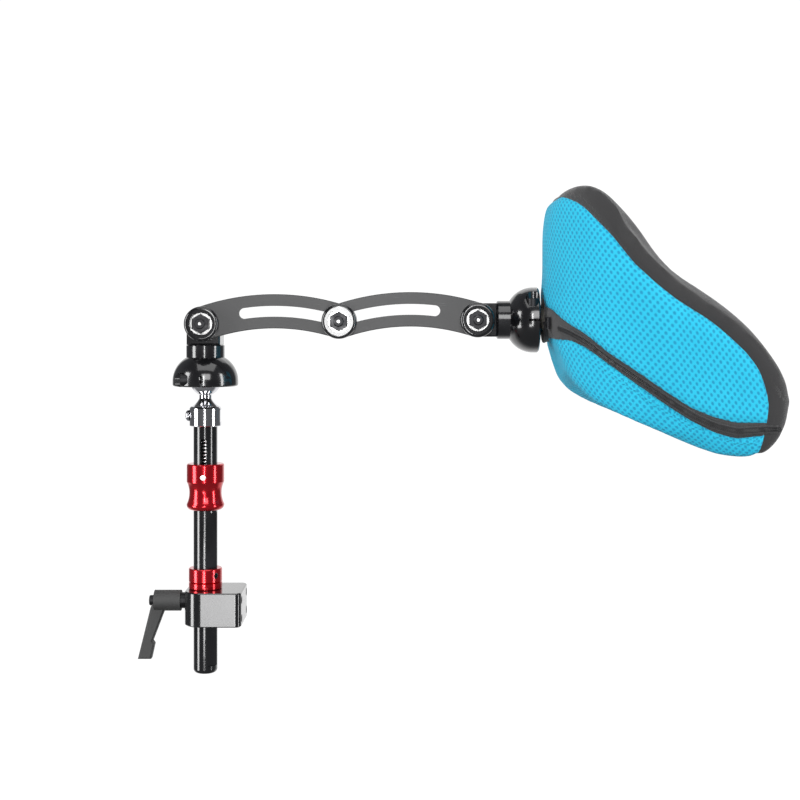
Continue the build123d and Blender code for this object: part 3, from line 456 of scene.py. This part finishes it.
def relax(points, pairs, steps, share=0.5):  # moves each point towards the mean of its neighbours
    a, b = pairs[:, 0], pairs[:, 1]
    count = np.bincount(pairs.ravel(), minlength=len(points))[:, None]
    for _ in range(steps):
        total = np.zeros_like(points)
        for axis in range(3):
            total[:, axis] = np.bincount(a, points[b, axis], len(points)) + np.bincount(b, points[a, axis],
                                                                                       len(points))
        points = points + share * (total / count - points)
    return points


def padBlank():  # one closed mesh with the outer shape of the pad's solids
    whole = bmesh.new()
    for name in coverNodes + ["pad_foam", "pad_shell", "pad_mount_plate", "pad_nut"]:
        whole.from_mesh(nodes[name].data)
    plug = bmesh.ops.create_cone(whole, cap_ends=True, segments=40, radius1=pad["plugRadius"],
                                 radius2=pad["plugRadius"], depth=pad["plugDeep"])
    for v in plug["verts"]:
        v.co = Vector((padBack + pad["plugAt"] + v.co.z, v.co.y, studZ + v.co.x))
    blank = newObject("padBlank", meshFrom(whole, "padBlank", smooth=False))
    remesh = blank.modifiers.new("remesh", "REMESH")
    remesh.mode, remesh.voxel_size = "VOXEL", pad["voxel"]
    return applied(blank, "padBlank")


def swell(form):  # cloth under pressure, with each point's movement capped
    start = coordinates(form.data)
    cloth = form.modifiers.new("cloth", "CLOTH")
    cloth.settings.use_pressure = True
    cloth.settings.uniform_pressure_force = pad["pressure"]
    cloth.settings.effector_weights.gravity = 0
    cloth.settings.quality = 5
    for n in range(1, pad["clothFrames"] + 1):
        scene.frame_set(n)
    swollen = applied(form, "padForm")
    scene.frame_set(1)
    moved = coordinates(swollen.data) - start
    size = np.linalg.norm(moved, axis=1, keepdims=True)
    setCoordinates(swollen.data, start + moved * np.minimum(1, pad["cap"] / np.maximum(size, 1e-9)))
    return swollen


def padForm():
    form = padBlank()
    solid = BVHTree.FromObject(form, bpy.context.evaluated_depsgraph_get())
    pairs = edgePairs(form.data)
    points = relax(coordinates(form.data), pairs, pad["smoothSteps"])
    setCoordinates(form.data, points)
    setCoordinates(form.data, points - pad["shrink"] * normals(form.data))
    form = swell(form)
    points = relax(coordinates(form.data), pairs, 3)
    low, high = points.min(0), points.max(0)  # back to the solids' own size
    points = (points - low) / (high - low) * (np.array(padHigh) - np.array(padLow)) + np.array(padLow)
    setCoordinates(form.data, points)
    for n, p in enumerate(points):  # nothing swells towards the clamp
        if p[0] < padBack + pad["nearBack"] and math.hypot(p[1], p[2] - studZ) < pad["clampReach"]:
            near, normal, _, _ = solid.find_nearest(p)
            if (Vector(p) - near).dot(normal) > 0:
                points[n] = near
    setCoordinates(form.data, points)
    smooth = form.modifiers.new("smooth", "SUBSURF")
    smooth.levels = smooth.render_levels = 1
    return applied(form, "padForm")


def cutAlong(work, side, snap=0.12):  # splits faces where side(points) changes sign
    work.verts.ensure_lookup_table()
    value = side(np.array([v.co for v in work.verts]))
    signed = {v: x for v, x in zip(work.verts, value)}
    for edge in work.edges:
        a, b = edge.verts
        if signed[a] * signed[b] < 0:
            share = signed[a] / (signed[a] - signed[b])
            if share < snap:
                signed[a] = 0.0
            elif share > 1 - snap:
                signed[b] = 0.0
    fresh = []
    for edge in list(work.edges):
        a, b = edge.verts
        if signed[a] * signed[b] < 0:
            _, middle = bmesh.utils.edge_split(edge, a, signed[a] / (signed[a] - signed[b]))
            signed[middle] = 0.0
            fresh.append(middle)
    onLine = [v for v in work.verts if signed[v] == 0.0]
    bmesh.ops.connect_verts(work, verts=onLine)
    return signed


def faceSide(face, signed):
    return sum(signed[v] for v in face.verts if v in signed) > 0


def tucked(mesh):  # the cloth dips into each seam
    points = coordinates(mesh)
    gap = np.minimum(np.abs(frontSide(points)), np.abs(mouthSide(points)))
    tape = np.where(frontSide(points) < pad["tapeTuck"], np.abs(tapeSide(points)), 1.0)
    gap = np.minimum(gap, tape)
    dip = pad["tuck"] * np.exp(-(gap / pad["tuckWide"]) ** 2)
    setCoordinates(mesh, points - dip[:, None] * normals(mesh))


def weaveMap(mesh):  # flat cloth coordinates: along the pad, and up it
    points = coordinates(mesh)
    along, out = alongAndOut(points)
    inward = np.maximum(halfThick(along) - out, 0)
    up = points[:, 2] + inward * np.where(normals(mesh)[:, 2] > 0, 1, -1)
    signedAlong = along * np.sign(points[:, 1] + 1e-9)
    flatMap = np.column_stack([signedAlong - pad["lean"] * up, up + pad["rise"] * along, 0 * up])
    made = mesh.attributes.new("weaveMap", "FLOAT_VECTOR", "POINT")
    made.data.foreach_set("vector", flatMap.astype(np.float32).ravel())


coverOf = {"coverFront": ("cover_front", "grey_fabric"), "coverBack": ("cover_back", "turquoise_mesh"),
           "coverUnder": ("cover_under", "turquoise_mesh"), "zipTape": ("zip_tape", "black_tape")}


def regions(work):  # the cover piece that each face belongs to
    work.verts.ensure_lookup_table()
    work.verts.index_update()
    points = np.array([v.co for v in work.verts])
    zipMiddle = zipHeight(points[:, 0])
    regionOf = []
    for face in work.faces:
        at = [v.index for v in face.verts]
        centre = np.array([face.calc_center_median()])
        if frontSide(centre)[0] > 0:
            regionOf.append("coverFront")
        elif tapeSide(centre)[0] > 0:
            regionOf.append("zipTape")
        else:
            above = points[at, 2].mean() > zipMiddle[at].mean()
            regionOf.append("coverBack" if above else "coverUnder")
    return regionOf


def coverPiece(name, whole, regionOf):  # one cut piece of the cover, with its cloth's thickness
    node, slot = coverOf[name]
    part = bmesh.new()
    part.from_mesh(whole)
    part.faces.ensure_lookup_table()
    extra = [f for f, region in zip(part.faces, regionOf) if region != name]
    bmesh.ops.delete(part, geom=extra, context="FACES")
    mesh = meshFrom(part, name)
    mesh.materials.append(finishOf[slot])
    piece = newObject(name, mesh)
    thick = piece.modifiers.new("cloth", "SOLIDIFY")
    thick.thickness, thick.offset = pad["clothThick"], -1
    piece = applied(piece, name)
    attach(piece, "pad")
    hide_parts(node)
    print("cover piece", name, len(piece.data.vertices), "vertices")
    return piece


def padCovers():
    form = padForm()
    work = bmesh.new()
    work.from_mesh(form.data)
    mouth = cutAlong(work, mouthSide)
    bmesh.ops.delete(work, geom=[f for f in work.faces if faceSide(f, mouth)], context="FACES")
    cutAlong(work, frontSide)
    cutAlong(work, tapeEdge)
    regionOf = regions(work)
    mesh = meshFrom(work, "padWhole")
    tucked(mesh)
    weaveMap(mesh)
    whole = newObject("padWhole", mesh)
    return form, whole, {name: coverPiece(name, mesh, regionOf) for name in coverOf}


form, padWhole, covers = padCovers()


def foamCore():  # the pad's stuffing, just inside its cover
    points = coordinates(form.data) - pad["foamGap"] * normals(form.data)
    setCoordinates(form.data, points)
    form.name = form.data.name = "foamCore"
    form.data.materials.clear()
    form.data.materials.append(finishOf["foam"])
    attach(form, "pad")
    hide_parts("pad_foam")


skin = BVHTree.FromObject(padWhole, bpy.context.evaluated_depsgraph_get())
foamCore()


# zip: teeth, stitches and the sleeve round the stud
def outerPoint(along, z, side):  # a point and normal on the outside of a wing
    radius, arc = pad["spineRadius"], math.radians(pad["spineArc"])
    turn = min(along, arc * radius) / radius
    rest = max(along - arc * radius, 0)
    x = padBack + pad["halfMid"] + radius * (1 - math.cos(turn)) + rest * math.sin(turn)
    y = side * (radius * math.sin(turn) + rest * math.cos(turn))
    outward = Vector((-math.cos(turn), side * math.sin(turn), 0))
    return skin.ray_cast(Vector((x, y, z)) + outward * 0.06, -outward)[:2]


def zipRoute(side, start, end, share=0.0, inset=0.0, count=90):
    route, z = [], studZ
    for along in np.linspace(start, end, count):
        for _ in range(4):
            hit, normal = outerPoint(along, z, side)
            if hit is None:
                break
            z = zipHeight(hit.x, share) - math.copysign(inset, share)
        if hit is not None:
            route.append((hit, normal))
    return route


def evenly(route, pitch):  # points, normals and tangents at an even pitch along a route
    places = np.array([list(p) for p, n in route])
    ups = np.array([list(n) for p, n in route])
    run = np.concatenate([[0], np.cumsum(np.linalg.norm(np.diff(places, axis=0), axis=1))])
    steps = np.arange(0, run[-1], pitch)
    at = [Vector(p) for p in np.column_stack([np.interp(steps, run, places[:, i]) for i in range(3)])]
    up = [Vector(n).normalized() for n in np.column_stack([np.interp(steps, run, ups[:, i]) for i in range(3)])]
    for n in range(1, len(at) - 1):
        yield at[n], up[n], (at[n + 1] - at[n - 1]).normalized(), n


zipParts = {"start": 0.037, "end": 0.200, "toothPitch": 0.0013, "toothWide": 0.0017, "toothLong": 0.0009,
            "toothHigh": 0.0010, "toothApart": 0.32, "lipWide": 0.0011, "lipStep": 0.002, "lipApart": 1.15,
            "lipRound": 0.62, "stitchStart": 0.012, "stitchPitch": 0.0034, "stitchLong": 0.0023,
            "stitchThick": 0.00042, "stitchHigh": 0.000588, "stitchInset": 0.0016}


def addBrick(work, place, up, along, size, taper=0.75):  # a small block, narrower on top
    across = up.cross(along).normalized()
    long, wide, high = size
    verts = []
    for level, scale in ((-0.4, 1.0), (0.45, 1.0), (0.6, taper)):
        for a, b in ((-1, -1), (1, -1), (1, 1), (-1, 1)):
            verts.append(work.verts.new(place + along * (a * long / 2 * scale) + across * (b * wide / 2 * scale)
                                        + up * (high * level)))
    for layer in (0, 4):
        for n in range(4):
            m = (n + 1) % 4
            work.faces.new([verts[layer + n], verts[layer + m], verts[layer + 4 + m], verts[layer + 4 + n]])
    work.faces.new(verts[8:])
    work.faces.new(verts[:4][::-1])


def meshPiece(name, work, finish, body="pad", smooth=True):
    bmesh.ops.recalc_face_normals(work, faces=work.faces)
    mesh = meshFrom(work, name, smooth)
    mesh.materials.append(finish)
    made = newObject(name, mesh)
    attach(made, body)
    return made


def zipTeeth():
    z, work = zipParts, bmesh.new()
    for side in (-1, 1):
        route = zipRoute(side, z["start"], z["end"])
        for place, up, along, n in evenly(route, z["toothPitch"] / 2):
            across = up.cross(along).normalized() * (1 if n % 2 else -1)
            addBrick(work, place + across * z["toothWide"] * z["toothApart"], up, along,
                     (z["toothLong"], z["toothWide"], z["toothHigh"] * 2))
    made = meshPiece("zipTeeth", work, finishOf["black_plastic"], smooth=False)
    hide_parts("zip_chain")


def tubeAlong(work, route, radius, ring=6):  # a thin cord laid along a route
    last = None
    for place, up, along, _ in route:
        across = up.cross(along).normalized()
        loop = []
        for k in range(ring):
            turn = 2 * math.pi * k / ring
            loop.append(work.verts.new(place + radius * (math.cos(turn) * across + math.sin(turn) * up)))
        if last:
            for k in range(ring):
                work.faces.new([last[k], last[(k + 1) % ring], loop[(k + 1) % ring], loop[k]])
        else:
            work.faces.new(loop)
        last = loop
    work.faces.new(last)


def zipLips():  # the tape's two turned edges beside the teeth
    z, work = zipParts, bmesh.new()
    for side in (-1, 1):
        for level in (-1, 1):
            shifted = []
            for place, up, along, n in evenly(zipRoute(side, z["start"], z["end"]), z["lipStep"]):
                across = up.cross(along).normalized()
                shifted.append((place + across * level * z["toothWide"] * z["lipApart"], up, along, n))
            tubeAlong(work, shifted, z["lipWide"] * z["lipRound"])
    meshPiece("zipLips", work, finishOf["black_tape"])


def zipStitches():
    z, work = zipParts, bmesh.new()
    for side in (-1, 1):
        for share in (-1, 1):
            route = zipRoute(side, z["start"] + z["stitchStart"], z["end"], share, z["stitchInset"])
            for place, up, along, _ in evenly(route, z["stitchPitch"]):
                size = (z["stitchLong"], z["stitchThick"], z["stitchHigh"])
                addBrick(work, place, up, along, size, 0.5)
    meshPiece("zipStitches", work, thread)


sleeve = {"profile": [(0.0180, 0.0022), (0.0175, 0.0012), (0.0168, 0.0009), (0.0161, 0.0013), (0.0157, 0.0026),
                      (0.0155, 0.0060), (0.0155, 0.0105), (0.0156, 0.0132), (0.0164, 0.0132), (0.0166, 0.0100),
                      (0.0168, 0.0046), (0.0174, 0.0034)], "segments": 56}


def studSleeve():  # black lining of the hole that the stud goes into; radius and depth from the pad's back
    work, rings = bmesh.new(), []
    for k in range(sleeve["segments"]):
        turn = 2 * math.pi * k / sleeve["segments"]
        rings.append([work.verts.new((padBack + 0.0004 + x, r * math.sin(turn), studZ + r * math.cos(turn)))
                      for r, x in sleeve["profile"]])
    for k, here in enumerate(rings):
        there = rings[(k + 1) % len(rings)]
        for n in range(len(here)):
            m = (n + 1) % len(here)
            work.faces.new([here[n], there[n], there[m], here[m]])
    meshPiece("studSleeve", work, finishOf["black_tape"])


zipTeeth()
zipLips()
zipStitches()
studSleeve()
for name in ("studSleeve", "zipLips"):
    weaveMap(bpy.data.objects[name].data)
bpy.data.objects.remove(padWhole)
print("zip made")


# bright steel discs on the pivot bolts' ends: painted highlights standing in for the glint in each countersunk
# centre
centreGlint = {"radius": 0.0012, "deep": 0.0003, "proud": 0.00004}


# places one painted highlight, a bright steel disc on a bolt's end
def boltGlint(name, body):
    low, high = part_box(name)
    work = bmesh.new()
    made = bmesh.ops.create_cone(work, cap_ends=True, segments=24, radius1=centreGlint["radius"],
                                 radius2=centreGlint["radius"] * 0.8, depth=centreGlint["deep"])
    for v in made["verts"]:
        y = low.y - centreGlint["proud"] + v.co.z + centreGlint["deep"] / 2
        v.co = Vector(((low.x + high.x) / 2 + v.co.x, y, (low.z + high.z) / 2 + v.co.y))
    meshPiece(name + "_glint", work, finishOf["bright_steel"], body, smooth=False)


for name, body in (("lower_pivot_bolt", "lower_clamp"), ("middle_bolt", "middle_bolt"),
                   ("upper_pivot_bolt", "upper_clamp")):
    boltGlint(name, body)

# floor, backdrop and lights
room = {"floor": -0.42, "back": 1.5, "front": -2.6, "middle": 0.12, "half": 3.0, "top": 3.2, "bend": 0.7,
        "litHalf": 0.84, "litFront": 0.55, "litTop": 1.05, "fade": 0.45, "unlit": (0.110, 0.114, 0.120)}


def backdrop():
    g = Graph("paleBackdrop")
    x, y, z = g.parts(g.place())
    aside = g.ramp(abs(x - room["middle"]), room["litHalf"], room["litHalf"] + room["fade"])
    forward = g.ramp(y, room["litFront"] - room["fade"], room["litFront"])
    above = g.ramp(z, room["litTop"], room["litTop"] + room["fade"])
    lit = (1 - aside) * forward * (1 - above)  # white behind the object only, so that its edges stay dark
    material = g.done(Base_Color=g.mix(g.noise(3, 2), (0.03, 0.03, 0.03), (0.05, 0.05, 0.05)), Roughness=0.9,
                      Emission_Color=g.mix(lit, room["unlit"], (1, 1, 1)), Emission_Strength=1.0)
    line = [(room["front"], room["floor"]), (room["back"] - room["bend"], room["floor"])]
    for k in range(1, 12):
        turn = math.pi / 2 * k / 12
        line.append((room["back"] - room["bend"] * (1 - math.sin(turn)),
                     room["floor"] + room["bend"] * (1 - math.cos(turn))))
    line.append((room["back"], room["top"]))
    work = bmesh.new()
    sides = [[work.verts.new((x, y, z)) for y, z in line]
             for x in (room["middle"] - room["half"], room["middle"] + room["half"])]
    for n in range(len(line) - 1):
        work.faces.new([sides[0][n], sides[1][n], sides[1][n + 1], sides[0][n + 1]])
    mesh = meshFrom(work, "backdrop")
    mesh.materials.append(material)
    newObject("backdrop", mesh)


def softbox(name, place, aim, size, power):
    data = bpy.data.lights.new(name, "AREA")
    data.shape, data.size, data.size_y, data.energy = "RECTANGLE", size[0], size[1], power
    made = bpy.data.objects.new(name, data)
    scene.collection.objects.link(made)
    made.location = place
    made.rotation_euler = (Vector(aim) - Vector(place)).to_track_quat("-Z", "Y").to_euler()


middle = (0.12, 0.0, 0.16)
lamps = {"leftBox": ((-1.15, -0.55, 0.25), middle, (0.42, 1.3), 16),  # place, aim, size and power
         "centreStrip": ((0.02, -1.6, 0.25), middle, (0.09, 1.3), 8),
         "rightBox": ((1.30, -0.55, 0.25), middle, (0.22, 1.3), 9),
         "topBox": ((0.15, -0.6, 1.7), middle, (1.6, 1.2), 11),
         "frontBox": ((0.35, -2.2, 1.0), middle, (1.2, 1.0), 20),
         "lowPanel": ((-0.17, -1.35, -0.26), (-0.02, 0, 0.05), (0.22, 0.20), 1.3),
         "backBox": ((0.3, 1.3, 1.4), middle, (1.4, 0.9), 4)}
for name, lamp in lamps.items():
    softbox(name, *lamp)
backdrop()
sky = {"colour": (0.92, 0.95, 1.0, 1), "strength": 0.12}
scene.view_settings.view_transform = "Standard"
world = bpy.data.worlds.new("studio")
world.use_nodes = True
world.node_tree.nodes["Background"].inputs[0].default_value = sky["colour"]
world.node_tree.nodes["Background"].inputs[1].default_value = sky["strength"]
scene.world = world
print("lights set")
